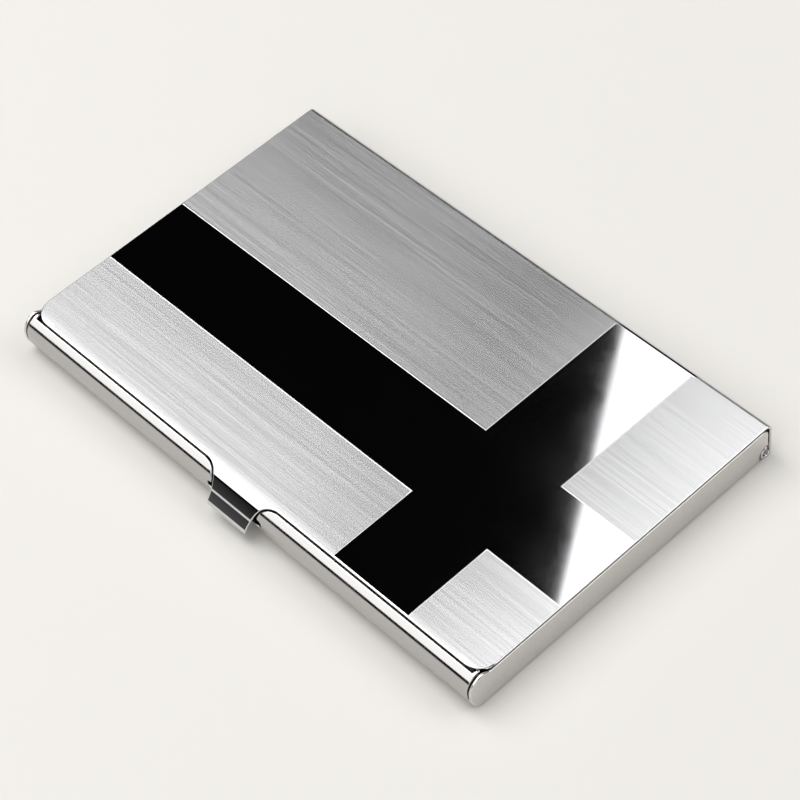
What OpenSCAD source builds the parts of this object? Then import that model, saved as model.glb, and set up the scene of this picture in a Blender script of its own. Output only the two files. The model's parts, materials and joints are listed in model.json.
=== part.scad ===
// Hinged sheet-steel case for business cards.
// +X runs along the length, -Y faces the latch, +Z is up.
// The origin is the bottom centre of the closed case, latch included.

/* [Case] */
// Length of the case, side to side
case_l = 93.5; // [92:0.5:100]
// Depth of the closed case from the rear wall to the tip of the latch
case_d = 60.5; // [58:0.5:66]
// Thickness of the closed case
case_t = 6.5; // [6.3:0.1:9]
// Thickness of the steel sheet of the base tray and the lid
sheet_t = 0.45; // [0.35:0.05:0.45]

/* [Rolled front] */
// Radius of the lower half of the rolled front
roll_low_r = 3.2; // [3:0.1:3.2]
// Radius of the upper half of the rolled front
roll_top_r = 2.6; // [2.4:0.1:2.6]
// Depth of the strip of the roll that shows in front of the lid
strip_d = 1.95; // [1.8:0.05:2.1]
// Gap between the ends of the roll and the end flaps
roll_end_gap = 0.27; // [0.15:0.01:0.4]

/* [Lid] */
// Radius of the lid's two front corners in plan
lid_corner_r = 3.2; // [1:0.1:4]
// Outer radius of the bend from the lid's top to its rear wall
rear_bend_r = 1; // [0.6:0.1:2]
// Gap between the lid's front edge and the roll
seam_gap = 0.18; // [0.12:0.01:0.3]
// Gap between the underside of the lid and the end flaps
flap_gap = 0.2; // [0.12:0.01:0.3]

/* [Latch] */
// Width of the latch tab
tab_w = 8; // [6:0.5:12]
// Radius of the fillets where the tab leaves the lid's front edge
tab_fillet_r = 3.5; // [2:0.1:4]
// Reach of the latch in front of the rolled front
tab_reach = 1.75; // [1.7:0.05:1.9]
// Gap around the tab where it crosses the roll
tab_gap = 0.22; // [0.15:0.01:0.3]
// Width of the window in the roll behind the tab
window_w = 11.2; // [10:0.1:14]
// Height of the window in the roll behind the tab
window_h = 1.1; // [0.8:0.1:1.2]

/* [Hinge] */
// Outer radius of the hinge knuckles
knuckle_r = 1.1; // [1.1:0.05:1.2]
// Radius of the hinge pin
pin_r = 0.6; // [0.5:0.05:0.6]
// Radial play between the pin and the knuckles
pin_play = 0.05; // [0.03:0.01:0.05]
// Gap between neighbouring knuckles along the pin
knuckle_gap = 0.3; // [0.2:0.05:0.4]
// Length of each of the lid's two end knuckles
lid_end_knuckle_l = 7.5; // [5:0.5:9]
// Length of each of the tray's two knuckles
tray_knuckle_l = 13.5; // [8:0.5:14]
// Length of each of the card lifter's two knuckles
lifter_knuckle_l = 9.5; // [6:0.5:10]

/* [Card lifter] */
// Thickness of the card lifter's sheet
lifter_t = 0.3; // [0.25:0.05:0.35]
// Gap between the card lifter and the bottom of the tray
lifter_gap = 0.3; // [0.2:0.05:0.35]
// Depth of the card lifter's plate in front of its rear wall
lifter_d = 51.6; // [45:0.1:52]
// Width of the thumb notch in the front edge of the card lifter
thumb_w = 24; // [20:1:40]
// Depth of the thumb notch
thumb_d = 7; // [3:0.5:9]

/* [Hidden] */
$fn = 64;

// Extra length that makes a cut pass through a face
over = 1;

// Case outline
half_l = case_l / 2;
rear_y = case_d / 2;
front_y = -rear_y + tab_reach;
inner_half_l = half_l - sheet_t;
lid_under_z = case_t - sheet_t;

// Rolled front
roll_half_l = inner_half_l - roll_end_gap;
low_y = front_y + roll_low_r;
top_y = front_y + roll_top_r;
top_z = case_t - roll_top_r;
seam_y = front_y + strip_d + seam_gap;

// Small tongue at each end of the strip, beside the lid's rounded corner
tongue_l = 0.6;
tongue_d = 1;
tongue_angle = 30;

// End flaps
flap_top_z = lid_under_z - flap_gap;
flap_rear_gap = 0.25;
flap_rear_y = rear_y - sheet_t - flap_rear_gap;
flap_bend_r = 0.6;
flap_ramp_d = 1.15;

// Hinge
bore_r = pin_r + pin_play;
pin_y = rear_y - knuckle_r;
pin_z = knuckle_r;
knuckle_clear = 0.3;
slit_w = 0.25;
tray_slit_angle = 203;
lid_slit_angle = 65;
lifter_slit_angle = 168;
pin_recess = 0.5;
lid_end_x = half_l - lid_end_knuckle_l;
tray_x = lid_end_x - knuckle_gap;
lifter_x = tray_x - tray_knuckle_l - knuckle_gap;
lid_mid_x = lifter_x - lifter_knuckle_l - knuckle_gap;
notch_y = pin_y - knuckle_r - knuckle_clear;
wall_low_z = 2 * knuckle_r + knuckle_clear;

// Latch tab: it follows the roll down to drape_turn, then runs straight to a small step and a finger lip.
// The straight part starts tab_overlap inside the lid's shell.
drape_r = roll_top_r - sheet_t / 2;
drape_turn = 50;
drape_run = 1.6;
tab_overlap = 0.02;
step_r = 0.5;
step_turn = 12;
step_run = 0.15;
steep = drape_turn + step_turn;
lip_r = 0.6;
lip_turn = 44;
lip_end_run = 0.3;
drape_reach = drape_r * sin(drape_turn) + drape_run * cos(drape_turn);
step_reach = 2 * step_r * (sin(steep) - sin(drape_turn)) + step_run * cos(steep);
lip_reach = lip_r * (1 - sin(drape_turn)) + sheet_t / 2;
lip_run = (top_y + rear_y - drape_reach - step_reach - lip_reach) / cos(drape_turn);
// Each bend is [straight run before it, radius of its centreline, turn]
tab_bends = [
    [tab_overlap + drape_run, step_r, step_turn],
    [step_run, step_r, -step_turn],
    [lip_run, lip_r, lip_turn],
];
bend_steps = 8;
window_rise = 0.5;
window_top_z = top_z + window_rise;

// Card lifter
lifter_z = sheet_t + lifter_gap;
lifter_hinge_gap = 0.25;
lifter_side_gap = 0.5;
lifter_wall_setback = 1;
lifter_top_gap = 0.35;
lifter_wall_y = pin_y - knuckle_r - lifter_hinge_gap - lifter_t;
lifter_half_l = inner_half_l - lifter_side_gap;
lifter_wall_half_l = lifter_half_l - lifter_wall_setback;
lifter_wall_top = lid_under_z - lifter_top_gap;
lifter_corner_r = 2;
lifter_knuckle_r = bore_r + lifter_t;
lifter_link_d = pin_y - bore_r - lifter_t / 2 - lifter_wall_y;

// ---- Helpers ----

// Extrudes a side view, drawn as (y, z), from one x to another
module along_x(from_x, to_x) {
    translate([from_x, 0, 0])
        rotate([90, 0, 90])
            linear_extrude(height = to_x - from_x)
                children();
}

// Repeats its children at both ends of the case
module both_ends() {
    children();
    mirror([1, 0, 0])
        children();
}

// Stations [position, heading] along a strip bent as the list says
function strip_stations(pos, heading, bends, i) =
    i == len(bends)
        ? [[pos, heading], [pos + lip_end_run * [cos(heading), sin(heading)], heading]]
        : let (
            run = bends[i][0],
            side = sign(bends[i][2]),
            r = bends[i][1],
            turn = bends[i][2],
            start = pos + run * [cos(heading), sin(heading)],
            centre = start + side * r * [-sin(heading), cos(heading)],
            arc = [
                for (s = [0:bend_steps])
                    let (a = heading + turn * s / bend_steps)
                    [centre - side * r * [-sin(a), cos(a)], a]
            ]
        )
        concat([[pos, heading]], arc, strip_stations(arc[bend_steps][0], heading + turn, bends, i + 1));

// Outline of the strip, offset half its thickness to each side
function strip_side(stations, offset_by) = [
    for (s = stations)
        s[0] + offset_by * [-sin(s[1]), cos(s[1])]
];

module bent_strip(stations, thickness) {
    left = strip_side(stations, thickness / 2);
    right = strip_side(stations, -thickness / 2);
    polygon(concat(left, [for (i = [len(right) - 1:-1:0]) right[i]]));
}

// Side view of the closed case's front, shrunk by inset
module front_section(inset) {
    translate([low_y, roll_low_r])
        circle(r = roll_low_r - inset);
    translate([top_y, top_z])
        circle(r = roll_top_r - inset);
    translate([front_y + inset, roll_low_r])
        square([roll_low_r, top_z - roll_low_r]);
    translate([low_y, inset])
        square([flap_rear_y - low_y, top_z - inset]);
    translate([top_y, roll_low_r])
        square([flap_rear_y - top_y, case_t - inset - roll_low_r]);
}

// One rolled knuckle between two x positions, with the slit where its sheet ends
module knuckle(from_x, to_x, outer_r, slit_angle) {
    along_x(from_x, to_x)
        translate([pin_y, pin_z])
            difference() {
                circle(r = outer_r);
                circle(r = bore_r);
                rotate(slit_angle)
                    translate([0, -slit_w / 2])
                        square([outer_r + over, slit_w]);
            }
}

// Clears the bore of a knuckle
module pin_bore() {
    along_x(-half_l - over, half_l + over)
        translate([pin_y, pin_z])
            circle(r = bore_r);
}

// Plan of the tab with its two fillets, grown by grow
module tab_plan(grow) {
    difference() {
        translate([-tab_w / 2 - tab_fillet_r, seam_y - 2 * tab_fillet_r])
            square([tab_w + 2 * tab_fillet_r, 2 * tab_fillet_r]);
        for (side = [-1, 1])
            translate([side * (tab_w / 2 + tab_fillet_r), seam_y - tab_fillet_r])
                circle(r = tab_fillet_r - grow);
        for (side = [0, 1])
            mirror([side, 0])
                translate([tab_w / 2 + grow, seam_y - 2 * tab_fillet_r])
                    square(tab_fillet_r);
    }
}

// ---- Sub-parts ----

// Bottom, rolled front and rear knuckles in one bent sheet
module tray_sheet() {
    intersection() {
        along_x(-half_l, half_l)
            difference() {
                front_section(0);
                front_section(sheet_t);
            }
        union() {
            along_x(-roll_half_l, roll_half_l)
                translate([front_y - over, -over])
                    square([low_y - front_y + over, case_t + 2 * over]);
            along_x(-half_l, half_l)
                translate([low_y, -over])
                    square([notch_y - low_y, over + sheet_t]);
        }
    }
}

// One end flap, folded up from the bottom
module end_flap() {
    along_x(inner_half_l, half_l)
        difference() {
            intersection() {
                front_section(0);
                union() {
                    translate([front_y, 0])
                        square([flap_rear_y - front_y, flap_top_z]);
                    polygon([
                        [front_y, flap_top_z],
                        [front_y, case_t],
                        [top_y, case_t],
                        [top_y + flap_ramp_d, flap_top_z],
                    ]);
                }
            }
            translate([pin_y, pin_z])
                circle(r = knuckle_r + knuckle_clear);
            translate([notch_y, -over])
                square([2 * knuckle_r, over + pin_z]);
            difference() {
                translate([flap_rear_y - rear_bend_r, flap_top_z - rear_bend_r])
                    square(rear_bend_r + over);
                translate([flap_rear_y - rear_bend_r, flap_top_z - rear_bend_r])
                    circle(r = rear_bend_r);
            }
        }
}

// Room for the lid in front: the seam, beside a tongue at each end
module seam_cut() {
    translate([-roll_half_l - roll_end_gap / 2, seam_y - seam_gap + tongue_d, top_z])
        cube([2 * roll_half_l + roll_end_gap, roll_low_r, roll_top_r + over]);
    translate([-roll_half_l + tongue_l, seam_y - seam_gap, top_z])
        cube([2 * (roll_half_l - tongue_l), roll_low_r, roll_top_r + over]);
    both_ends()
        translate([roll_half_l, seam_y - seam_gap + tongue_d, top_z])
            rotate([0, 0, tongue_angle])
                translate([-2 * tongue_l, 0, 0])
                    cube([2 * tongue_l, tongue_d, roll_top_r + over]);
}

// Opening in the roll that the latch tab drops into
module tab_opening() {
    translate([0, 0, window_top_z - window_h])
        linear_extrude(height = case_t)
            tab_plan(tab_gap);
    translate([0, low_y - roll_low_r / 2, window_top_z - window_h / 2])
        rotate([90, 0, 0])
            linear_extrude(height = roll_low_r) {
                square([window_w - window_h, window_h], center = true);
                for (side = [-1, 1])
                    translate([side * (window_w - window_h) / 2, 0])
                        circle(d = window_h);
            }
}

// Rounds the two long outer edges of the bottom, where the flaps fold up
module fold_rounding() {
    rotate([90, 0, 0])
        linear_extrude(height = 2 * case_d, center = true) {
            translate([-half_l, flap_bend_r])
                square([case_l, case_t]);
            translate([-half_l + flap_bend_r, 0])
                square([case_l - 2 * flap_bend_r, case_t]);
            for (side = [-1, 1])
                translate([side * (half_l - flap_bend_r), flap_bend_r])
                    circle(r = flap_bend_r);
        }
}

module base_tray() {
    color("silver")
        intersection() {
            difference() {
                union() {
                    tray_sheet();
                    both_ends() {
                        end_flap();
                        translate([tray_x - tray_knuckle_l, notch_y - over, 0])
                            cube([tray_knuckle_l, pin_y - notch_y + over, sheet_t]);
                        knuckle(tray_x - tray_knuckle_l, tray_x, knuckle_r, tray_slit_angle);
                    }
                }
                seam_cut();
                tab_opening();
                pin_bore();
            }
            fold_rounding();
        }
}

// Side view of the lid's front edge, top, rear bend and rear wall
module lid_section(inset) {
    bend_y = rear_y - rear_bend_r;
    bend_z = case_t - rear_bend_r;
    translate([top_y, top_z])
        circle(r = roll_top_r - inset);
    translate([top_y, pin_z - inset])
        square([bend_y - top_y, case_t - pin_z]);
    translate([bend_y - rear_bend_r, pin_z - inset])
        square([2 * rear_bend_r - inset, bend_z - pin_z + inset]);
    translate([bend_y, bend_z])
        circle(r = rear_bend_r - inset);
}

// Plan of the lid with its rounded front corners
module lid_plan() {
    translate([-half_l, seam_y + lid_corner_r])
        square([case_l, case_d]);
    translate([-half_l + lid_corner_r, seam_y])
        square([case_l - 2 * lid_corner_r, case_d]);
    for (side = [-1, 1])
        translate([side * (half_l - lid_corner_r), seam_y + lid_corner_r])
            circle(r = lid_corner_r);
}

// Side view of the room for the lid's shell: it follows the roll only as far as drape_turn
module lid_room() {
    translate([top_y, -over])
        square([rear_y - top_y, case_t + 2 * over]);
    polygon([
        [top_y, top_z],
        [top_y, case_t + over],
        [top_y - 2 * roll_top_r * sin(drape_turn), case_t + over],
        [top_y - 2 * roll_top_r * sin(drape_turn), top_z + 2 * roll_top_r * cos(drape_turn)],
    ]);
}

// Part of the latch tab that stands off the roll and ends in a finger lip
module latch_tab() {
    start = [
        top_y - drape_r * sin(drape_turn) + tab_overlap * cos(drape_turn),
        top_z + drape_r * cos(drape_turn) + tab_overlap * sin(drape_turn),
    ];
    intersection() {
        along_x(-tab_w, tab_w)
            bent_strip(strip_stations(start, 180 + drape_turn, tab_bends, 0), sheet_t);
        linear_extrude(height = case_t + over)
            tab_plan(0);
    }
}

module lid() {
    color("gainsboro")
        difference() {
            union() {
                intersection() {
                    along_x(-half_l, half_l)
                        intersection() {
                            difference() {
                                lid_section(0);
                                lid_section(sheet_t);
                            }
                            lid_room();
                        }
                    linear_extrude(height = 3 * case_t, center = true) {
                        lid_plan();
                        tab_plan(0);
                    }
                }
                latch_tab();
                knuckle(-lid_mid_x, lid_mid_x, knuckle_r, lid_slit_angle);
                both_ends()
                    knuckle(lid_end_x, half_l, knuckle_r, lid_slit_angle);
            }
            both_ends()
                translate([lid_mid_x, rear_y - sheet_t - over, 0])
                    cube([lid_end_x - lid_mid_x, sheet_t + 2 * over, wall_low_z]);
            pin_bore();
        }
}

module hinge_pin() {
    color("darkgray")
        along_x(-half_l + pin_recess, half_l - pin_recess)
            translate([pin_y, pin_z])
                circle(r = pin_r);
}

// Plan of the lifter's plate with its thumb notch
module lifter_plan() {
    front = lifter_wall_y - lifter_d;
    difference() {
        union() {
            translate([-lifter_half_l, front + lifter_corner_r])
                square([2 * lifter_half_l, lifter_d + lifter_t - lifter_corner_r]);
            translate([-lifter_half_l + lifter_corner_r, front])
                square([2 * (lifter_half_l - lifter_corner_r), lifter_d]);
            for (side = [-1, 1])
                translate([side * (lifter_half_l - lifter_corner_r), front + lifter_corner_r])
                    circle(r = lifter_corner_r);
        }
        translate([0, front - thumb_d])
            square([thumb_w - 2 * thumb_d, 4 * thumb_d], center = true);
        for (side = [-1, 1])
            translate([side * (thumb_w / 2 - thumb_d), front])
                circle(r = thumb_d);
    }
}

// Rear wall of the lifter, with rounded upper corners
module lifter_wall() {
    translate([0, lifter_wall_y + lifter_t, 0])
        rotate([90, 0, 0])
            linear_extrude(height = lifter_t) {
                translate([-lifter_wall_half_l, lifter_z])
                    square([2 * lifter_wall_half_l, lifter_wall_top - lifter_corner_r - lifter_z]);
                translate([-lifter_wall_half_l + lifter_corner_r, lifter_z])
                    square([2 * (lifter_wall_half_l - lifter_corner_r), lifter_wall_top - lifter_z]);
                for (side = [-1, 1])
                    translate([
                        side * (lifter_wall_half_l - lifter_corner_r),
                        lifter_wall_top - lifter_corner_r,
                    ])
                        circle(r = lifter_corner_r);
            }
}

module card_lifter() {
    color("darkgray")
        union() {
            translate([0, 0, lifter_z])
                linear_extrude(height = lifter_t)
                    lifter_plan();
            lifter_wall();
            both_ends() {
                translate([lifter_x - lifter_knuckle_l, lifter_wall_y, lifter_z])
                    cube([lifter_knuckle_l, lifter_link_d, lifter_t]);
                knuckle(lifter_x - lifter_knuckle_l, lifter_x, lifter_knuckle_r, lifter_slit_angle);
            }
        }
}

base_tray();
lid();
hinge_pin();
card_lifter();
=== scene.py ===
import json
import math

import bmesh
import bpy
import numpy as np
from mathutils import Matrix, Vector, geometry


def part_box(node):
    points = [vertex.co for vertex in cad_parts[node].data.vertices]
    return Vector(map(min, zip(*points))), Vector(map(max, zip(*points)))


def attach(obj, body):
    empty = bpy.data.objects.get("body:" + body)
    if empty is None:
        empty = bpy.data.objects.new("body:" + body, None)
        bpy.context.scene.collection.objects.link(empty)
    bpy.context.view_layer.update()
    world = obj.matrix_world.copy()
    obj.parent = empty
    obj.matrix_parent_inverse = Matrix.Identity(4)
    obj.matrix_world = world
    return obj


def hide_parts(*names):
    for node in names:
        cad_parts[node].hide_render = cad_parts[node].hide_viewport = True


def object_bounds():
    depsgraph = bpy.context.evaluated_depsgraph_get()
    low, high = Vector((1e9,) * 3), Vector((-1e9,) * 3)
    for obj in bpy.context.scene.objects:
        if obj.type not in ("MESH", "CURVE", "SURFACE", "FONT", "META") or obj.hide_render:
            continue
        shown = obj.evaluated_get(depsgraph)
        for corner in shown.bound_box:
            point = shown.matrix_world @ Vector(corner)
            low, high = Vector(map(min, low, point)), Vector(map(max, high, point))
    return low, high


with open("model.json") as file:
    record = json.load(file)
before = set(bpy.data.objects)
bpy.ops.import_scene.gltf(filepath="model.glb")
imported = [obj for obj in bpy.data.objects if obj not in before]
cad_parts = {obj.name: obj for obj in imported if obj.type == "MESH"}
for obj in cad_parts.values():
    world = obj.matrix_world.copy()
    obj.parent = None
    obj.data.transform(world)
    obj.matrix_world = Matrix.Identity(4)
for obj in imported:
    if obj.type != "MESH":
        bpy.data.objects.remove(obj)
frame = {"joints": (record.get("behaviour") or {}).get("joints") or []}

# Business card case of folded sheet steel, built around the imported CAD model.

cad_bounds = [list(corner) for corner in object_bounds()]

MM = 0.001

# ---- Sizes, in millimetres, from the CAD frame ----

CASE_LOW, CASE_HIGH = [[c / MM for c in corner] for corner in cad_bounds]
TRAY_LOW = [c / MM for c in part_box("base_tray")[0]]
LIFTER_LOW, LIFTER_HIGH = [[c / MM for c in corner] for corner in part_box("card_lifter")]
PIN_LOW, PIN_HIGH = [[c / MM for c in corner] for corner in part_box("hinge_pin")]
HINGE = [c / MM for c in frame["joints"][0]["pos_m"]]

HALF_L = CASE_HIGH[0]
TOP_Z = CASE_HIGH[2]
REAR_Y = CASE_HIGH[1]
FRONT_Y = TRAY_LOW[1]
LIP_Y = CASE_LOW[1]

SHEET = 0.45
FLAP_GAP = 0.2
FLAP_REAR_GAP = 0.25
LIFTER_SHEET = 0.3
STRIP_DEPTH = 1.95
SEAM_GAP = 0.18
SEAM_Y = FRONT_Y + STRIP_DEPTH + SEAM_GAP

ROLL_LOW_R = 3.2
ROLL_TOP_R = 2.6
ROLL_END = HALF_L - SHEET - 0.27
TONGUE_L = 0.6
TONGUE_D = 1.0

LID_CORNER_R = 3.2
REAR_BEND_R = 1.0
TAB_HALF = 4.0
TAB_FILLET_R = 3.5
TAB_GAP = 0.22
WINDOW_HALF = 5.6
WINDOW_LOW_Z = 3.3
WINDOW_TOP_Z = 4.4

PIN_R = (PIN_HIGH[2] - PIN_LOW[2]) / 2
BORE_R = PIN_R + 0.05
KNUCKLE_R = BORE_R + SHEET
CURL_TURN = 284
KNUCKLE_GAP = 0.3
CURL_CORNER_R = 0.2
SLOT_CORNER_R = 0.35
NOTCH_CORNER_R = 0.3
LID_END_X = HALF_L - 7.5
TRAY_X = LID_END_X - KNUCKLE_GAP
TRAY_IN_X = TRAY_X - 13.5
LIFTER_X = TRAY_IN_X - KNUCKLE_GAP
LIFTER_IN_X = LIFTER_X - 9.5
LID_MID_X = LIFTER_IN_X - KNUCKLE_GAP
NOTCH_Y = HINGE[1] - KNUCKLE_R - KNUCKLE_GAP
WALL_LOW_Z = 2 * KNUCKLE_R + KNUCKLE_GAP

# Borders of the polished cross on the lid: a lengthwise band and a crosswise band
BAND_LOW_Y, BAND_HIGH_Y = -11.43, 2.94
BAND_LOW_X, BAND_HIGH_X = 18.26, 32.9
RIDGE_HALF = 0.09
RIDGE_HEIGHT = 0.02

# Rounding of the sheet's edges, and the spacing of the points of its mesh
RIM_R = 0.16
RIM_STEPS = 5
BEND_STEP = math.radians(5)
ARC_STEP = math.radians(9)
EDGE_STEP = 1.5
COLUMN_STEP = 3.0
CLEAR_OF_EDGE = 0.06
POINT_SPACING = 0.02
WELD = 0.0001
UV_SPAN = 100


# ---- Folded sheets ----

class Fold:
    """A path of straight runs and bends, drawn in the plane (a, b)."""

    def __init__(self, pieces, anchor_piece, anchor, heading):
        """Each piece is (length, 0) or (centreline radius, turn in degrees)."""
        self.pieces = []
        s, turned = 0.0, 0.0
        turns_before_anchor = sum(p[1] for p in pieces[:anchor_piece])
        angle = math.radians(heading - turns_before_anchor)
        pos = Vector((0, 0))
        for index, (size, turn) in enumerate(pieces):
            if index == anchor_piece:
                origin, self.anchor_s = pos.copy(), s
            length = size * math.radians(abs(turn)) if turn else size
            bend = math.radians(turn) / length if turn else 0.0
            self.pieces.append((s, length, bend, pos.copy(), angle))
            pos, angle = self._advance(pos, angle, bend, length)
            s += length
        self.length = s
        self.shift = Vector(anchor) - origin

    @staticmethod
    def _advance(pos, angle, bend, run):
        if bend:
            end = angle + bend * run
            step = Vector((math.sin(end) - math.sin(angle), math.cos(angle) - math.cos(end))) / bend
            return pos + step, end
        return pos + Vector((math.cos(angle), math.sin(angle))) * run, angle

    def at(self, s):
        """Position and heading at distance s along the path."""
        for start, length, bend, pos, angle in self.pieces:
            if s <= start + length + 1e-9:
                break
        pos, angle = self._advance(pos, angle, bend, s - start)
        return pos + self.shift, angle

    def start_of(self, piece):
        return self.pieces[piece][0] if piece < len(self.pieces) else self.length

    def stations(self):
        """Distances at which the surface needs a row of points."""
        rows = []
        for start, length, bend, _, _ in self.pieces:
            if bend:
                count = max(2, math.ceil(abs(bend) * length / BEND_STEP))
                rows += [start + length * i / count for i in range(count + 1)]
        return sorted(set(round(r, 6) for r in rows))

    def find(self, axis, value, low, high):
        """The distance between low and high at which coordinate axis has that value."""
        rising = self.at(high)[0][axis] > self.at(low)[0][axis]
        for _ in range(40):
            middle = (low + high) / 2
            if (self.at(middle)[0][axis] < value) == rising:
                low = middle
            else:
                high = middle
        return (low + high) / 2


def rounded(corners):
    """A closed outline from (p, s, radius) corners, with the corners turned into arcs."""
    outline = []
    count = len(corners)
    for i, (p, s, r) in enumerate(corners):
        here = Vector((p, s))
        if r <= 0:
            outline.append(here)
            continue
        back = Vector(corners[i - 1][:2]) - here
        on = Vector(corners[(i + 1) % count][:2]) - here
        half = back.angle(on) / 2
        reach = r / math.tan(half)
        start = here + back.normalized() * reach
        end = here + on.normalized() * reach
        centre = here + (back.normalized() + on.normalized()).normalized() * r / math.sin(half)
        a, b = start - centre, end - centre
        sweep = a.angle_signed(b)
        steps = max(2, math.ceil(abs(sweep) / ARC_STEP))
        for k in range(steps + 1):
            angle = -sweep * k / steps
            turned = Matrix.Rotation(angle, 2) @ a
            outline.append(centre + turned)
    return outline


def mirrored(half):
    """A closed outline from its right half, given from the lowest to the highest point."""
    left = [(-p, s, r) for p, s, r in reversed(half) if p > 1e-9]
    return rounded(list(half) + left)


def resampled(outline, rows):
    """The outline with points added where it crosses a row and along its long edges."""
    points = []
    for i, a in enumerate(outline):
        b = outline[(i + 1) % len(outline)]
        span = (b - a).length
        if span < 1e-6:
            continue
        cuts = {0.0}
        if abs(b.y - a.y) > 1e-9:
            cuts |= {(r - a.y) / (b.y - a.y) for r in rows if min(a.y, b.y) < r < max(a.y, b.y)}
        count = math.ceil(span / EDGE_STEP)
        cuts |= {k / count for k in range(count)}
        kept = []
        for cut in sorted(cuts):
            if not kept or (cut - kept[-1]) * span > POINT_SPACING:
                kept.append(cut)
        if len(kept) > 1 and (1 - kept[-1]) * span < POINT_SPACING:
            kept.pop()
        points += [a.lerp(b, cut) for cut in kept]
    return points


def signed_area(loop):
    return sum(a.x * b.y - b.x * a.y for a, b in zip(loop, loop[1:] + loop[:1])) / 2


def outward(loop):
    """The direction pointing out of the sheet at each point, stretched at the corners."""
    result = []
    count = len(loop)
    for i, point in enumerate(loop):
        before = (point - loop[i - 1]).normalized()
        after = (loop[(i + 1) % count] - point).normalized()
        n0, n1 = Vector((before.y, -before.x)), Vector((after.y, -after.x))
        middle = (n0 + n1).normalized()
        result.append(middle / max(0.5, middle.dot(n0)))
    return result


def inside(points, loops):
    """Whether each point lies inside the loops, by the even-odd rule."""
    hits = np.zeros(len(points), int)
    for loop in loops:
        a = np.array([tuple(v) for v in loop])
        b = np.roll(a, -1, axis=0)
        x, y = points[:, 0:1], points[:, 1:2]
        crosses = (a[:, 1] > y) != (b[:, 1] > y)
        with np.errstate(divide="ignore", invalid="ignore"):
            cut = a[:, 0] + (y - a[:, 1]) * (b[:, 0] - a[:, 0]) / (b[:, 1] - a[:, 1])
        hits += (crosses & (x < cut)).sum(axis=1)
    return hits % 2 == 1


def distance_to(points, loops):
    """Distance from each point to the nearest loop edge."""
    best = np.full(len(points), np.inf)
    for loop in loops:
        a = np.array([tuple(v) for v in loop])
        d = np.roll(a, -1, axis=0) - a
        for start, step in zip(a, d):
            t = np.clip(((points - start) @ step) / (step @ step), 0, 1)
            gap = points - start - t[:, None] * step
            best = np.minimum(best, np.hypot(gap[:, 0], gap[:, 1]))
    return best


def face_rows(fold, loops, extra_points):
    """Rows of points across every bend, kept clear of the edges."""
    low = min(v.x for v in loops[0])
    high = max(v.x for v in loops[0])
    count = math.ceil((high - low) / COLUMN_STEP)
    columns = [low + (high - low) * (i + 0.5) / count for i in range(count)]
    grid = [(x, row) for row in fold.stations() for x in columns] + extra_points
    if not grid:
        return []
    grid = np.array(sorted({(round(x, 3), row) for x, row in grid}, key=lambda point: point[::-1]))
    keep = inside(grid, loops) & (distance_to(grid, loops) > CLEAR_OF_EDGE)
    grid = grid[keep]
    middles = (grid[:-1] + grid[1:]) / 2
    linked = (grid[1:, 1] == grid[:-1, 1]) & (grid[1:, 0] - grid[:-1, 0] < 1.5 * COLUMN_STEP)
    linked &= inside(middles, loops) & (distance_to(middles, loops) > CLEAR_OF_EDGE)
    rows = [[tuple(grid[0])]]
    for point, joins in zip(grid[1:], linked):
        if joins:
            rows[-1].append(tuple(point))
        else:
            rows.append([tuple(point)])
    return rows


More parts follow.
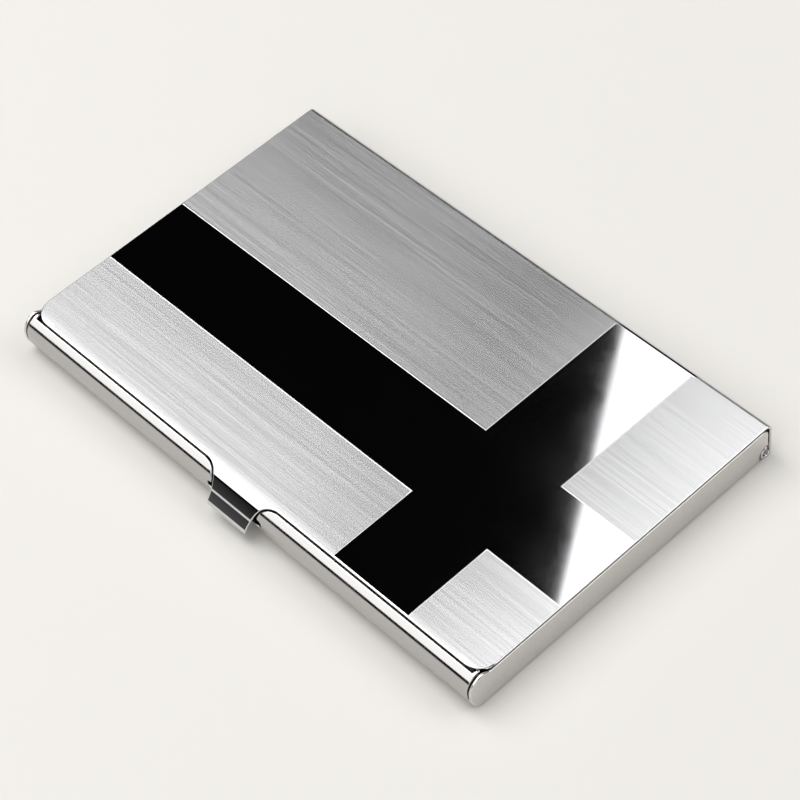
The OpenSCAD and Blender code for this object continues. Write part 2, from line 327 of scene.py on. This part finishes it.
def folded_sheet(name, loops, fold, thickness, axes, materials, material_of,
                 rim=RIM_R, creases=(), height=None, extra_points=(), butt=None):
    """A closed sheet of even thickness with rounded edges, folded along a path."""
    along, a_axis, b_axis = axes
    rows = fold.stations()
    loops = [resampled(loop, rows) for loop in loops]
    loops = [loop if (signed_area(loop) > 0) == (i == 0) else loop[::-1] for i, loop in enumerate(loops)]
    rim = min(rim, thickness / 2 - 0.01)
    positions, normals, patterns = [], [], []

    def place(p, s, out, offset, lean, slope=(0.0, 0.0)):
        """Adds a vertex at (p, s), offset from the middle of the sheet, its normal leaning outwards."""
        pos, heading = fold.at(min(max(s, 0.0), fold.length))
        tangent = a_axis * math.cos(heading) + b_axis * math.sin(heading)
        normal = a_axis * -math.sin(heading) + b_axis * math.cos(heading)
        point = along * p + a_axis * pos.x + b_axis * pos.y + normal * offset
        flat = along * out[0] + tangent * out[1]
        facing = flat * math.cos(lean) + normal * math.sin(lean)
        facing -= (along * slope[0] + tangent * slope[1]) * math.sin(lean)
        positions.append(point * MM)
        normals.append(facing.normalized())
        patterns.append((p, s))
        return len(positions) - 1

    leans = [math.pi / 2 * (1 - k / RIM_STEPS) for k in range(RIM_STEPS + 1)]
    half = thickness / 2
    faces, inner_loops, top_ids, bottom_ids = [], [], [], []
    for loop in loops:
        open_ends = [butt is not None and butt(point) for point in loop]
        rings = [[] for _ in range(2 * len(leans))]
        for point, direction, flush in zip(loop, outward(loop), open_ends):
            unit = direction.normalized()
            ids = []
            for lean in leans:
                if flush and ids:
                    ids.append(ids[-1])
                    continue
                inset = 0 if flush else rim * (1 - math.cos(lean))
                drop = 0 if flush else rim * (1 - math.sin(lean))
                at = point - direction * inset
                ids.append(place(at.x, at.y, unit, half - drop, lean))
            low = []
            for lean in reversed(leans):
                if flush and low:
                    low.append(low[-1])
                    continue
                inset = 0 if flush else rim * (1 - math.cos(lean))
                drop = 0 if flush else rim * (1 - math.sin(lean))
                at = point - direction * inset
                low.append(place(at.x, at.y, unit, drop - half, -math.pi / 2 if flush else -lean))
            for ring, vertex in zip(rings, ids + low):
                ring.append(vertex)
        count = len(loop)
        for step, (upper, lower) in enumerate(zip(rings, rings[1:])):
            for i in range(count):
                j = (i + 1) % count
                if open_ends[i] and open_ends[j]:
                    continue
                quad = [upper[i], lower[i], lower[j], upper[j]]
                quad = [v for k, v in enumerate(quad) if v != quad[k - 1]]
                if len(set(quad)) >= 3:
                    faces.append((quad, "rim" if step < RIM_STEPS - 1 else "cut"))
        inner_loops.append([Vector(patterns[v]) for v in rings[0]])
        top_ids.append(rings[0])
        bottom_ids.append(rings[-1])

    flat = [tuple(v) for loop in inner_loops for v in loop]
    top = [v for ring in top_ids for v in ring]
    bottom = [v for ring in bottom_ids for v in ring]
    edges, first = [], 0
    for loop in inner_loops:
        count = len(loop)
        edges += [(first + i, first + (i + 1) % count) for i in range(count)]
        first += count
    for line in [*face_rows(fold, inner_loops, list(extra_points)), *creases]:
        start = len(flat)
        flat += [tuple(v) for v in line]
        edges += [(start + i, start + i + 1) for i in range(len(line) - 1)]

    def place_inside(p, s):
        lift, slope = height(p, s) if height else (0.0, (0.0, 0.0))
        top.append(place(p, s, (0, 0), half + lift, math.pi / 2, slope))
        bottom.append(place(p, s, (0, 0), -half, -math.pi / 2))

    for p, s in flat[len(top):]:
        place_inside(p, s)
    verts, _, triangles, sources, _, _ = geometry.delaunay_2d_cdt(
        [Vector(v) for v in flat], edges, [], 0, 1e-7)
    ids = []
    for vertex, source in zip(verts, sources):
        if not source:
            source = [len(flat)]
            flat.append(tuple(vertex))
            place_inside(*vertex)
        ids.append(source[0])
    triangles = [[ids[v] for v in t] for t in triangles]
    centres = np.array([[sum(flat[v][k] for v in t) / 3 for k in (0, 1)] for t in triangles])
    for t, keep in zip(triangles, inside(centres, inner_loops)):
        if keep:
            faces.append(([top[v] for v in t], "top"))
            faces.append(([bottom[v] for v in reversed(t)], "bottom"))

    mesh = bpy.data.meshes.new(name)
    mesh.from_pydata([tuple(p) for p in positions], [], [f for f, _ in faces])
    for material in materials:
        mesh.materials.append(material)
    uv = mesh.uv_layers.new(name="flat_pattern")
    for polygon, (ids, side) in zip(mesh.polygons, faces):
        polygon.use_smooth = True
        centre = [sum(patterns[v][k] for v in ids) / len(ids) for k in (0, 1)]
        polygon.material_index = material_of(centre[0], centre[1], side)
        for loop_index in polygon.loop_indices:
            p, s = patterns[mesh.loops[loop_index].vertex_index]
            uv.data[loop_index].uv = (p / UV_SPAN + 0.5, s / UV_SPAN)
    facing = mesh.attributes.new("facing", "FLOAT_VECTOR", "POINT")
    facing.data.foreach_set("vector", [c for normal in normals for c in normal])
    mesh.normals_split_custom_set_from_vertices([tuple(n) for n in normals])
    mesh.validate()
    piece = bpy.data.objects.new(name, mesh)
    bpy.context.scene.collection.objects.link(piece)
    return piece


X_AXIS, Y_AXIS, Z_AXIS = Vector((1, 0, 0)), Vector((0, 1, 0)), Vector((0, 0, 1))
LENGTHWISE = (X_AXIS, Y_AXIS, Z_AXIS)


def joined(name, pieces):
    """Joins pieces into one object, welded where they meet, that keeps their normals."""
    bpy.ops.object.select_all(action="DESELECT")
    for piece in pieces:
        piece.select_set(True)
    bpy.context.view_layer.objects.active = pieces[0]
    bpy.ops.object.join()
    mesh = pieces[0].data
    welded = bmesh.new()
    welded.from_mesh(mesh)
    bmesh.ops.remove_doubles(welded, verts=welded.verts, dist=WELD * MM)
    welded.to_mesh(mesh)
    welded.free()
    mesh.normals_split_custom_set_from_vertices([tuple(d.vector) for d in mesh.attributes["facing"].data])
    pieces[0].name = name
    mesh.name = name
    return pieces[0]


# ---- Materials ----

def steel(name, color, roughness, anisotropic=0.0):
    """A steel material with its shader; the caller adds its texture."""
    material = bpy.data.materials.new(name)
    material.use_nodes = True
    shader = material.node_tree.nodes["Principled BSDF"]
    shader.inputs["Metallic"].default_value = 1.0
    shader.inputs["Base Color"].default_value = (*color, 1)
    shader.inputs["Roughness"].default_value = roughness
    shader.inputs["Anisotropic"].default_value = anisotropic
    return material, shader


def stretched_noise(material, scale, detail=3.0, rough=0.55):
    """Noise in object space, with its own scale along x, y and z, per metre."""
    nodes, links = material.node_tree.nodes, material.node_tree.links
    place = nodes.new("ShaderNodeTexCoord")
    mapping = nodes.new("ShaderNodeMapping")
    mapping.inputs["Scale"].default_value = scale
    noise = nodes.new("ShaderNodeTexNoise")
    noise.inputs["Scale"].default_value = 1.0
    noise.inputs["Detail"].default_value = detail
    noise.inputs["Roughness"].default_value = rough
    links.new(place.outputs["Object"], mapping.inputs["Vector"])
    links.new(mapping.outputs["Vector"], noise.inputs["Vector"])
    return noise.outputs["Fac"]


def remapped(material, value, low, high, from_low=0.3, from_high=0.7):
    node = material.node_tree.nodes.new("ShaderNodeMapRange")
    node.inputs["From Min"].default_value = from_low
    node.inputs["From Max"].default_value = from_high
    node.inputs["To Min"].default_value = low
    node.inputs["To Max"].default_value = high
    material.node_tree.links.new(value, node.inputs["Value"])
    return node.outputs["Result"]


def tinted(material, shader, value, dark, light):
    """Colours the steel between two tones by a value from 0 to 1."""
    mix = material.node_tree.nodes.new("ShaderNodeMix")
    mix.data_type = "RGBA"
    mix.inputs["A"].default_value = (*dark, 1)
    mix.inputs["B"].default_value = (*light, 1)
    material.node_tree.links.new(value, mix.inputs["Factor"])
    material.node_tree.links.new(mix.outputs["Result"], shader.inputs["Base Color"])


def bumped(material, shader, value, distance, strength=1.0):
    node = material.node_tree.nodes.new("ShaderNodeBump")
    node.inputs["Strength"].default_value = strength
    node.inputs["Distance"].default_value = distance
    material.node_tree.links.new(value, node.inputs["Height"])
    material.node_tree.links.new(node.outputs["Normal"], shader.inputs["Normal"])


def along_pattern(material, shader):
    """Lays the anisotropic highlight across the hairlines."""
    tangent = material.node_tree.nodes.new("ShaderNodeTangent")
    tangent.direction_type = "UV_MAP"
    tangent.uv_map = "flat_pattern"
    material.node_tree.links.new(tangent.outputs["Tangent"], shader.inputs["Tangent"])
    shader.inputs["Anisotropic Rotation"].default_value = 0.25


def brushed_steel():
    material, shader = steel("brushed_steel", (0.56, 0.56, 0.565), 0.21, 1.0)
    along_pattern(material, shader)
    streaks = stretched_noise(material, (40, 3300, 3300), 2.0, 0.6)
    clouds = stretched_noise(material, (22, 45, 45), 2.0)
    links = material.node_tree.links
    tone = material.node_tree.nodes.new("ShaderNodeMath")
    links.new(remapped(material, streaks, 0.0, 1.0), tone.inputs[0])
    links.new(remapped(material, clouds, -0.12, 0.12), tone.inputs[1])
    tinted(material, shader, tone.outputs["Value"], (0.525, 0.525, 0.53), (0.6, 0.6, 0.605))
    links.new(remapped(material, streaks, 0.203, 0.219), shader.inputs["Roughness"])
    bumped(material, shader, streaks, 0.00000001)
    return material


def mirror_steel():
    material, shader = steel("mirror_steel", (0.64, 0.64, 0.65), 0.035)
    haze = stretched_noise(material, (120, 160, 160), 3.0)
    links = material.node_tree.links
    links.new(remapped(material, haze, 0.03, 0.045), shader.inputs["Roughness"])
    scratches = stretched_noise(material, (60, 9000, 9000), 2.0)
    bumped(material, shader, scratches, 0.00000008)
    return material


def polished_steel():
    material, shader = steel("polished_steel", (0.49, 0.48, 0.47), 0.12)
    haze = stretched_noise(material, (150, 900, 900), 3.0)
    links = material.node_tree.links
    links.new(remapped(material, haze, 0.1, 0.15), shader.inputs["Roughness"])
    drawn = stretched_noise(material, (40, 5000, 5000), 2.0)
    bumped(material, shader, drawn, 0.0000008)
    return material


def border_steel():
    material, shader = steel("border_steel", (0.65, 0.65, 0.65), 0.38)
    grain = stretched_noise(material, (4000, 4000, 4000), 2.0)
    tinted(material, shader, grain, (0.62, 0.62, 0.62), (0.7, 0.7, 0.7))
    return material


# Near-black steel for the lid's side edges: painted shade that stands in for the dark shadow gap between
# the lid and the end flaps
def painted_gap_shade_steel():
    material, shader = steel("painted_gap_shade_steel", (0.1, 0.1, 0.1), 0.5)
    grain = stretched_noise(material, (900, 900, 6000), 3.0)
    tinted(material, shader, grain, (0.06, 0.06, 0.06), (0.14, 0.14, 0.14))
    return material


def satin_steel():
    material, shader = steel("satin_steel", (0.66, 0.645, 0.625), 0.25, 0.4)
    along_pattern(material, shader)
    drawn = stretched_noise(material, (50, 3600, 3600), 3.0)
    tinted(material, shader, remapped(material, drawn, 0.0, 1.0), (0.62, 0.61, 0.59), (0.7, 0.685, 0.665))
    bumped(material, shader, drawn, 0.000002)
    return material


def wire_steel():
    material, shader = steel("wire_steel", (0.6, 0.59, 0.57), 0.3)
    drawn = stretched_noise(material, (60, 5000, 5000), 3.0)
    tinted(material, shader, remapped(material, drawn, 0.0, 1.0), (0.5, 0.49, 0.47), (0.68, 0.67, 0.65))
    bumped(material, shader, drawn, 0.000003)
    return material


BRUSHED, MIRROR, POLISHED = brushed_steel(), mirror_steel(), polished_steel()
BORDER, PAINTED_GAP_SHADE = border_steel(), painted_gap_shade_steel()
SATIN, WIRE = satin_steel(), wire_steel()


# ---- Lid ----

def fillet_x(y, grow):
    """Half width of the latch tab at y, on its plan fillet; grow widens it to the tray's cutout."""
    across = y - (SEAM_Y - TAB_FILLET_R)
    return TAB_HALF + TAB_FILLET_R - math.sqrt(max(0, (TAB_FILLET_R - grow) ** 2 - across ** 2))


# Places of the roll-following edge, the top and the rear wall in the lid's fold
LID_EDGE, LID_TOP, LID_WALL = 7, 9, 11


def lid_fold():
    """From the tip of the latch over the top to the rear knuckles, through the middle of the sheet."""
    drape_r, drape_turn, drape_run = ROLL_TOP_R - SHEET / 2, 50, 1.6
    step_r, step_turn, step_run = 0.5, 12, 0.15
    lip_r, lip_turn, lip_end = 0.6, 44, 0.3
    edge_r, edge_turn = 32.0, 2
    slant, steep = math.radians(drape_turn), math.radians(drape_turn + step_turn)
    reach = drape_r * math.sin(slant) + drape_run * math.cos(slant)
    reach += 2 * step_r * (math.sin(steep) - math.sin(slant)) + step_run * math.cos(steep)
    reach += lip_r * (1 - math.sin(slant)) + SHEET / 2
    lip_run = (FRONT_Y + ROLL_TOP_R - LIP_Y - reach) / math.cos(slant)
    top_start = FRONT_Y + ROLL_TOP_R + (edge_r - drape_r) * math.sin(math.radians(edge_turn))
    return Fold([
        (lip_end, 0), (lip_r, -lip_turn), (lip_run, 0), (step_r, step_turn), (step_run, 0),
        (step_r, -step_turn), (drape_run, 0), (drape_r, edge_turn - drape_turn), (edge_r, -edge_turn),
        (REAR_Y - REAR_BEND_R - top_start, 0), (REAR_BEND_R - SHEET / 2, -90),
        (TOP_Z - REAR_BEND_R - HINGE[2], 0), (BORE_R + SHEET / 2, -CURL_TURN),
    ], LID_TOP, (top_start, TOP_Z - SHEET / 2), 0)


def lid_outline(fold):
    """Right half of the lid's flat pattern, from the lip to the rear knuckles."""
    seam = fold.find(0, SEAM_Y, fold.start_of(LID_EDGE), fold.start_of(LID_TOP))
    wall_end = fold.start_of(LID_WALL) + (TOP_Z - REAR_BEND_R - WALL_LOW_Z)
    tab_corner_r = 0.35
    half = [(0, 0, 0), (TAB_HALF, 0, tab_corner_r)]
    lowest = SEAM_Y - TAB_FILLET_R
    steps = 22
    for i in range(steps):
        y = lowest + TAB_FILLET_R * math.sin(math.pi / 2 * (i + 0.5) / steps)
        half.append((fillet_x(y, 0), fold.find(0, y, fold.start_of(1), seam), 0))
    half += [
        (fillet_x(SEAM_Y, 0), seam, 0),
        (HALF_L, seam, LID_CORNER_R),
        (HALF_L, fold.length, CURL_CORNER_R),
        (LID_END_X, fold.length, CURL_CORNER_R),
        (LID_END_X, wall_end, SLOT_CORNER_R),
        (LID_MID_X, wall_end, SLOT_CORNER_R),
        (LID_MID_X, fold.length, CURL_CORNER_R),
        (0, fold.length, 0),
    ]
    return half


def border_lines():
    """The L-shaped borders of the four brushed fields, as (corner x, corner y, side x, side y)."""
    across = ((BAND_LOW_X, -1), (BAND_HIGH_X, 1))
    return [(x, y, side_x, side_y) for x, side_x in across
            for y, side_y in ((BAND_HIGH_Y, 1), (BAND_LOW_Y, -1))]


def make_lid():
    fold = lid_fold()
    seam = fold.find(0, SEAM_Y, fold.start_of(LID_EDGE), fold.start_of(LID_TOP))
    rear = fold.start_of(LID_TOP + 1)
    to_y = SEAM_Y - seam
    low_s, high_s = BAND_LOW_Y - to_y, BAND_HIGH_Y - to_y
    margin = RIM_R + 0.08

    def border_gap(x, s):
        """Distance to the nearest border of a brushed field, and the direction away from it."""
        best, direction = 9.0, (0.0, 0.0)
        for corner_x, corner_y, side_x, side_y in border_lines():
            dx = (x - corner_x) * side_x
            ds = (s - (corner_y - to_y)) * side_y
            if dx > -RIDGE_HALF * 2 and ds > -RIDGE_HALF * 2:
                gap = min(dx, ds)
                if abs(gap) < abs(best):
                    best = gap
                    direction = (side_x, 0.0) if dx < ds else (0.0, side_y)
        return best, direction

    def ridge(x, s):
        if not seam + margin / 2 < s < rear + 0.01:
            return 0.0, (0.0, 0.0)
        gap, direction = border_gap(x, s)
        if abs(gap) > RIDGE_HALF:
            return 0.0, (0.0, 0.0)
        phase = math.pi * gap / RIDGE_HALF
        lift = RIDGE_HEIGHT * (1 + math.cos(phase)) / 2
        slope = -RIDGE_HEIGHT * math.pi / RIDGE_HALF * math.sin(phase) / 2
        return lift, (direction[0] * slope, direction[1] * slope)

    rows = fold.stations()
    steps_x, steps_s, row_gap = 24, 12, 0.05
    creases = []
    for corner_x, corner_y, side_x, side_y in border_lines():
        end_x = side_x * (HALF_L - margin)
        end_s = rear - 0.1 if side_y > 0 else seam + margin
        for part in (-1, -0.5, 0, 0.5, 1):
            x = corner_x + side_x * part * RIDGE_HALF
            s = corner_y - to_y + side_y * part * RIDGE_HALF
            line_x = [Vector((end_x + (x - end_x) * i / steps_x, s)) for i in range(steps_x + 1)]
            low, high = min(s, end_s) + row_gap, max(s, end_s) - row_gap
            stops = {s + (end_s - s) * i / steps_s for i in range(1, steps_s + 1)}
            stops |= {row for row in rows if low < row < high}
            line_s = [Vector((x, stop)) for stop in sorted(stops, reverse=side_y < 0)]
            creases.append(line_x + line_s)

    def material_of(x, s, side):
        if side == "bottom":
            return 3
        # The lid's side cut edges get the near-black steel, as painted shade for the shadow gap above the
        # end flaps
        if side == "cut" and abs(x) > HALF_L - RIM_R and s < rear:
            return 4
        if side in ("rim", "cut") or not seam + 0.05 < s < rear + 0.3:
            return 1
        gap, _ = border_gap(x, s)
        if abs(gap) < RIDGE_HALF * 0.9:
            return 2
        brushed = (x < BAND_LOW_X or x > BAND_HIGH_X) and (s < low_s or s > high_s)
        return 0 if brushed else 1

    half = lid_outline(fold)
    dense = [(TAB_HALF * 1.9 * i / 12, row) for row in rows if row < seam for i in range(-12, 13)]
    return folded_sheet("lid_shell", [mirrored(half)], fold, SHEET, LENGTHWISE,
                        [BRUSHED, MIRROR, BORDER, SATIN, PAINTED_GAP_SHADE], material_of,
                        creases=creases, height=ridge, extra_points=dense)


# ---- Base tray ----

def tray_fold():
    overlap = FRONT_Y + STRIP_DEPTH + TONGUE_D - (FRONT_Y + ROLL_TOP_R)
    start = (FRONT_Y + ROLL_TOP_R, TOP_Z - SHEET / 2)
    return Fold([
        (overlap, 0), (ROLL_TOP_R - SHEET / 2, 90),
        (TOP_Z - ROLL_TOP_R - ROLL_LOW_R, 0), (ROLL_LOW_R - SHEET / 2, 90),
        (HINGE[1] - FRONT_Y - ROLL_LOW_R, 0), (BORE_R + SHEET / 2, CURL_TURN + 2),
    ], 1, start, 180)


FOLD_X = HALF_L - 1.2
FLAP_BEND_R = 0.6
FLAP_START_Y = FRONT_Y + ROLL_LOW_R + 0.05


def tray_outline(fold):
    """Right half of the tray's flat pattern, from the knuckles back to the roll's strip."""
    front_s = fold.start_of(3)
    strip_s = fold.find(0, FRONT_Y + STRIP_DEPTH, 0, front_s)
    window_low = fold.find(1, WINDOW_LOW_Z, fold.start_of(1), fold.start_of(4))
    window_top = fold.find(1, WINDOW_TOP_Z, fold.start_of(1), fold.start_of(4))
    corner_r = (window_low - window_top) / 2 - 0.01
    window_y = fold.at(window_top)[0].x
    bottom_s = fold.start_of(4)
    to_s = bottom_s - (FRONT_Y + ROLL_LOW_R)
    half = [(0, window_low, 0), (WINDOW_HALF, window_low, corner_r), (WINDOW_HALF, window_top, corner_r)]
    strip_r, tongue_r, tongue_tip, tongue_slant = 0.12, 0.18, 0.28, 0.7
    steps, notch_r = 16, 0.25
    for i in [0, *range(4, steps + 1)]:
        y = window_y + (FRONT_Y + STRIP_DEPTH - window_y) * i / steps
        half.append((fillet_x(y, TAB_GAP), fold.find(0, y, 0, front_s), notch_r if i == 0 else 0))
    half += [
        (ROLL_END - TONGUE_L, strip_s, strip_r),
        (ROLL_END - TONGUE_L * tongue_slant, tongue_tip, tongue_r),
        (ROLL_END, 0, tongue_r),
        (ROLL_END, FLAP_START_Y + to_s, tongue_r),
        (FOLD_X, FLAP_START_Y + to_s, 0),
        (FOLD_X, NOTCH_Y + to_s, 0),
        (TRAY_X, NOTCH_Y + to_s, NOTCH_CORNER_R),
        (TRAY_X, fold.length, CURL_CORNER_R),
        (TRAY_IN_X, fold.length, CURL_CORNER_R),
        (TRAY_IN_X, NOTCH_Y + to_s, NOTCH_CORNER_R),
        (0, NOTCH_Y + to_s, 0),
    ]
    return half


def make_tray_sheet():
    fold = tray_fold()

    def material_of(x, s, side):
        return 1 if side == "top" else 0

    def butt(point):
        return abs(abs(point.x) - FOLD_X) < 1e-4

    half = tray_outline(fold)
    dense = [(TAB_HALF * 2 * i / 10, row) for row in fold.stations() if row < fold.start_of(4)
             for i in range(-10, 11)]
    return folded_sheet("tray_sheet", [mirrored(half)], fold, SHEET, LENGTHWISE,
                        [POLISHED, SATIN], material_of, extra_points=dense, butt=butt)


def make_flap(side):
    """One end flap: side is 1 on the right and -1 on the left."""
    bend_mid = FLAP_BEND_R - SHEET / 2
    strip = HALF_L - FLAP_BEND_R - FOLD_X
    fold = Fold([(strip, 0), (bend_mid, 90), (TOP_Z - FLAP_BEND_R, 0)], 0, (FOLD_X, SHEET / 2), 0)
    to_s = fold.start_of(2) - FLAP_BEND_R
    flap_top = TOP_Z - SHEET - FLAP_GAP
    rear = REAR_Y - SHEET - FLAP_REAR_GAP
    low_c = (FRONT_Y + ROLL_LOW_R, ROLL_LOW_R)
    top_c = (FRONT_Y + ROLL_TOP_R, TOP_Z - ROLL_TOP_R)
    clear_r = KNUCKLE_R + KNUCKLE_GAP

    def arc(centre, r, start, end, steps):
        for i in range(steps + 1):
            a = math.radians(start + (end - start) * i / steps)
            yield centre[0] + r * math.cos(a), centre[1] + r * math.sin(a)

    front = [(y, z, 0) for y, z in arc(low_c, ROLL_LOW_R, 262, 182, 20)]
    front += [(y, z, 0) for y, z in arc(top_c, ROLL_TOP_R, 180, 92, 20)]
    ramp_low, ramp_d = 0.02, 1.15
    top = [(top_c[0] + 0.1, TOP_Z - ramp_low, 0.2), (top_c[0] + ramp_d, flap_top, 0.5),
           (rear, flap_top, REAR_BEND_R)]
    cut = [(y, z, 0) for y, z in arc((HINGE[1], HINGE[2]), clear_r, 87, 180, 12)]
    outline = [(FLAP_START_Y, 0, 0)]
    outline += [(y, z + to_s, r) for y, z, r in front + top]
    above_cut = 1.36
    outline += [(y, z + to_s, r) for y, z, r in [(rear, HINGE[2] + above_cut, CURL_CORNER_R)] + cut]
    outline += [(NOTCH_Y, 0, 0)]
    loop = rounded([(-side * y, s, r) for y, s, r in outline][::side])

    def material_of(x, s, face):
        return 1

    def butt(point):
        return point.y < 1e-4

    axes = (Vector((0, -side, 0)), Vector((side, 0, 0)), Z_AXIS)
    return folded_sheet(f"flap_{side}", [loop], fold, SHEET, axes, [POLISHED, SATIN], material_of,
                        butt=butt)


# ---- Card lifter ----

def make_lifter():
    top_z = LIFTER_HIGH[2]
    plate_z = 0.9
    wall_y = HINGE[1] - KNUCKLE_R - 0.25 - LIFTER_SHEET / 2
    bend_r = 0.4
    front = LIFTER_LOW[1]
    half_l = LIFTER_HIGH[0]
    fold = Fold([(wall_y - bend_r - front, 0), (bend_r, 90), (top_z - plate_z - bend_r, 0)],
                0, (front, plate_z), 0)
    thumb_half, thumb_d, corner = 12.0, 7.0, 2.0
    wall_s = fold.start_of(1) - 0.5
    half = [
        (0, thumb_d, 0), (thumb_half, thumb_d, thumb_d - 1), (thumb_half, 0, 0.6), (half_l, 0, corner),
        (half_l, wall_s, 0.4), (half_l - 1, wall_s + 0.01, 0), (half_l - 1, fold.length, corner),
        (0, fold.length, 0),
    ]

    def satin(x, s, side):
        return 0

    pieces = [folded_sheet("lifter_plate", [mirrored(half)], fold, LIFTER_SHEET, LENGTHWISE, [SATIN], satin,
                           rim=0.1)]
    curl_r = BORE_R + LIFTER_SHEET / 2
    dip_r, dip_turn = 0.4, 50
    drop = plate_z - (HINGE[2] - curl_r)
    slant = (drop - 2 * dip_r * (1 - math.cos(math.radians(dip_turn)))) / math.sin(math.radians(dip_turn))
    run = 2 * dip_r * math.sin(math.radians(dip_turn)) + slant * math.cos(math.radians(dip_turn))
    start_y = wall_y - bend_r
    link = Fold([(HINGE[1] - run - start_y, 0), (dip_r, -dip_turn), (slant, 0), (dip_r, dip_turn),
                 (curl_r, CURL_TURN)], 0, (start_y, plate_z), 0)
    for side in (-1, 1):
        near, far = side * LIFTER_IN_X, side * LIFTER_X
        loop = rounded([(near, 0, 0), (far, 0, 0), (far, link.length, 0.15), (near, link.length, 0.15)])
        pieces.append(folded_sheet(f"lifter_curl_{side}", [loop], link, LIFTER_SHEET, LENGTHWISE,
                                   [SATIN], satin, rim=0.08))
    return joined("lifter_plate", pieces)


# ---- Hinge pin ----

def make_pin():
    """A drawn wire with chamfered ends."""
    mesh = bpy.data.meshes.new("pin_wire")
    around = 40
    chamfer = 0.15
    rings = [(PIN_LOW[0], PIN_R - chamfer), (PIN_LOW[0] + chamfer, PIN_R),
             (PIN_HIGH[0] - chamfer, PIN_R), (PIN_HIGH[0], PIN_R - chamfer)]
    built = bmesh.new()
    layers = []
    angles = [2 * math.pi * i / around for i in range(around)]
    for x, r in rings:
        ring = [(x, HINGE[1] + r * math.cos(a), HINGE[2] + r * math.sin(a)) for a in angles]
        layers.append([built.verts.new(Vector(point) * MM) for point in ring])
    for low, high in zip(layers, layers[1:]):
        for i in range(around):
            j = (i + 1) % around
            built.faces.new([low[i], low[j], high[j], high[i]])
    built.faces.new(layers[0])
    built.faces.new(reversed(layers[-1]))
    bmesh.ops.recalc_face_normals(built, faces=built.faces)
    for face in built.faces:
        face.smooth = len(face.verts) == 4
    for edge in built.edges:
        edge.smooth = edge.calc_face_angle(0) < math.radians(30)
    built.to_mesh(mesh)
    built.free()
    mesh.materials.append(WIRE)
    piece = bpy.data.objects.new("pin_wire", mesh)
    bpy.context.scene.collection.objects.link(piece)
    return piece


lid = make_lid()
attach(lid, "lid")
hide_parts("lid")

tray = joined("tray_shell", [make_tray_sheet(), make_flap(1), make_flap(-1)])
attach(tray, "case_base")
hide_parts("base_tray")

pin = make_pin()
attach(pin, "case_base")
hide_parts("hinge_pin")

lifter = make_lifter()
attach(lifter, "card_lifter")
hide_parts("card_lifter")


# ---- Floor, light and camera ----

def make_floor():
    bpy.ops.mesh.primitive_plane_add(size=6, location=(0, 0, 0))
    floor = bpy.context.object
    floor.name = "floor"
    material = bpy.data.materials.new("paper_floor")
    material.use_nodes = True
    shader = material.node_tree.nodes["Principled BSDF"]
    shader.inputs["Base Color"].default_value = (0.61, 0.594, 0.568, 1)
    shader.inputs["Roughness"].default_value = 0.7
    floor.data.materials.append(material)


def area_light(name, centre, aim, size, radiance, spin=0.0):
    data = bpy.data.lights.new(name, "AREA")
    data.shape = "RECTANGLE"
    data.size, data.size_y = size
    data.energy = radiance * math.pi * size[0] * size[1]
    light = bpy.data.objects.new(name, data)
    light.location = centre
    facing = (Vector(aim) - Vector(centre)).to_track_quat("-Z", "Y")
    light.rotation_mode = "QUATERNION"
    light.rotation_quaternion = facing @ Matrix.Rotation(math.radians(spin), 3, "Z").to_quaternion()
    bpy.context.scene.collection.objects.link(light)


def make_lights():
    height = 1.0
    # Overhead softbox, with a wider and dimmer one in front of it
    area_light("top_softbox_left", (-0.94, -0.065, height), (-0.94, -0.065, 0), (0.72, 0.57), 5.3)
    area_light("top_softbox_right", (-0.24, -0.065, height), (-0.24, -0.065, 0), (0.68, 0.57), 4.0)
    area_light("front_softbox", (-0.5, -1.18, height), (-0.5, -1.18, 0), (2.2, 1.65), 1.9)
    area_light("side_softbox", (1.0, 0.9, height), (1.0, 0.9, 0), (1.2, 1.4), 2.8)
    # Low softbox that brightens the top in views from behind
    area_light("fill_softbox", (1.1, -1.1, 0.65), (0, 0, 0.3), (1.8, 1.1), 0.9)
    # Rear right softbox; its straight left edge is the border seen in the polished bands
    edge = Vector((-0.465, 0.4525, 0))
    along = Vector((-0.095, 0.146, 0)).normalized()
    across = Vector((along.y, -along.x, 0))
    width, length = 1.2, 0.6
    centre = edge + along * (length / 2 - 0.25) + across * width / 2
    spin = math.degrees(math.atan2(along.y, along.x)) - 90
    area_light("rear_softbox", (centre.x, centre.y, height), (centre.x, centre.y, 0),
               (width, length), 2.1, spin)


def make_world():
    world = bpy.data.worlds.new("studio")
    world.use_nodes = True
    nodes, links = world.node_tree.nodes, world.node_tree.links
    background = nodes["Background"]
    place = nodes.new("ShaderNodeTexCoord")
    split = nodes.new("ShaderNodeSeparateXYZ")
    # Bright near the horizon and almost black above it
    ramp = nodes.new("ShaderNodeMapRange")
    ramp.inputs["From Min"].default_value = 0.09
    ramp.inputs["From Max"].default_value = 0.185
    ramp.inputs["To Min"].default_value = 0.95
    ramp.inputs["To Max"].default_value = 0.002
    links.new(place.outputs["Generated"], split.inputs["Vector"])
    links.new(split.outputs["Z"], ramp.inputs["Value"])
    links.new(ramp.outputs["Result"], background.inputs["Color"])
    bpy.context.scene.world = world


def make_camera():
    azimuth, elevation, roll = (math.radians(a) for a in (52.36, 50.48, 7.93))
    distance = 0.3858
    target = Vector((5.5, -1.4, TOP_Z)) * MM
    away = Vector((math.sin(azimuth) * math.cos(elevation), -math.cos(azimuth) * math.cos(elevation),
                   math.sin(elevation)))
    level = Z_AXIS.cross(away).normalized()
    upright = away.cross(level)
    right = level * math.cos(roll) - upright * math.sin(roll)
    up = away.cross(right)
    data = bpy.data.cameras.new("camera")
    data.lens = 123.5
    data.clip_start = 0.01
    camera = bpy.data.objects.new("camera", data)
    turn = Matrix((right, up, away)).transposed().to_4x4()
    camera.matrix_world = Matrix.Translation(target + away * distance) @ turn
    bpy.context.scene.collection.objects.link(camera)
    bpy.context.scene.camera = camera


make_floor()
make_lights()
make_world()
make_camera()
bpy.context.scene.view_settings.view_transform = "Standard"
